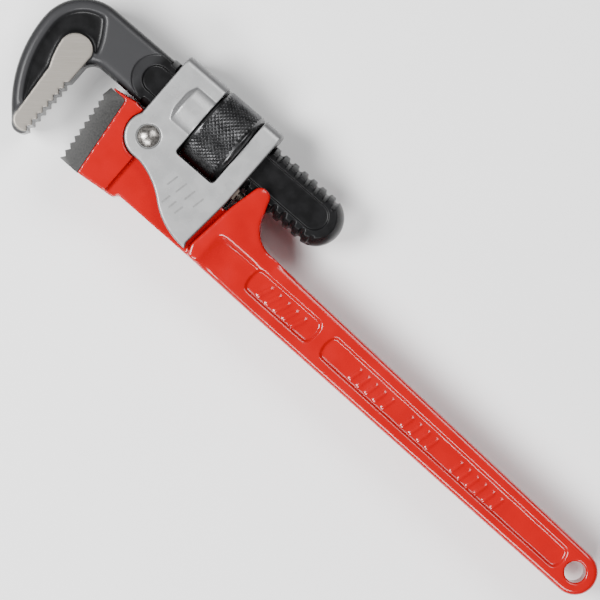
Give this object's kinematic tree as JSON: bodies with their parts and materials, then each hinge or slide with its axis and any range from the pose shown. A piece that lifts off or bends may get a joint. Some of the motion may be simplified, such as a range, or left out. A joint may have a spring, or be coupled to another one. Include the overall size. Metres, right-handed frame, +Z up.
{
  "type": "pipe wrench",
  "caption": "Heavy-duty straight pipe wrench: threaded hook jaw in a rocking frame, knurled adjusting nut, toothed lower jaw and long handle.",
  "frame": {"origin": "centre of the bounding box in plan, on the surface that the wrench lies on", "axes": "+X runs from the jaws to the tail, +Y from the handle to the hook jaw's shank, +Z up through the thickness"},
  "size_m": [0.3194, 0.07, 0.0334],
  "materials": {
    "red_enamel": "glossy red enamel over an iron casting",
    "grey_casting": "silver-grey satin coat over a fine-grained casting",
    "black_forging": "black semi-matt forging with brushed ground side faces",
    "black_nut": "black oiled finish over a diamond knurl",
    "tool_steel": "dark tempered steel",
    "bright_steel": "bright smooth steel",
    "spring_steel": "oil-tempered spring steel"
  },
  "bodies": {
    "handle": {"handle": "red_enamel", "lower_jaw": "tool_steel", "jaw_pin": "bright_steel", "coil_spring": "spring_steel"},
    "frame": {"frame": "grey_casting", "frame_pin": "bright_steel", "leaf_spring": "spring_steel", "spring_rivet": "bright_steel"},
    "nut": {"adjusting_nut": "black_nut"},
    "hook_jaw": {"hook_jaw": "black_forging"}
  },
  "joints": [
    {"name": "frame_rock", "type": "hinge", "parent": "handle", "child": "frame", "pos_m": [-0.09535, -0.0012, 0.0167], "axis": [0, 0, 1], "range_deg": [-2, 1], "stiffness_Nm_per_rad": 2, "deforming": ["coil_spring"]},
    {"name": "nut_turn", "type": "hinge", "parent": "frame", "child": "nut", "pos_m": [-0.0732, 0.0183, 0.0167], "axis": [1, 0, 0], "range_deg": [-809, 2425]},
    {"name": "jaw_slide", "type": "slide", "parent": "frame", "child": "hook_jaw", "axis": [1, 0, 0], "range_m": [-0.033, 0.011]}
  ],
  "couplings": [
    {"joint": "nut_turn", "follows": "jaw_slide", "rad_per_m": -1282.3}
  ]
}
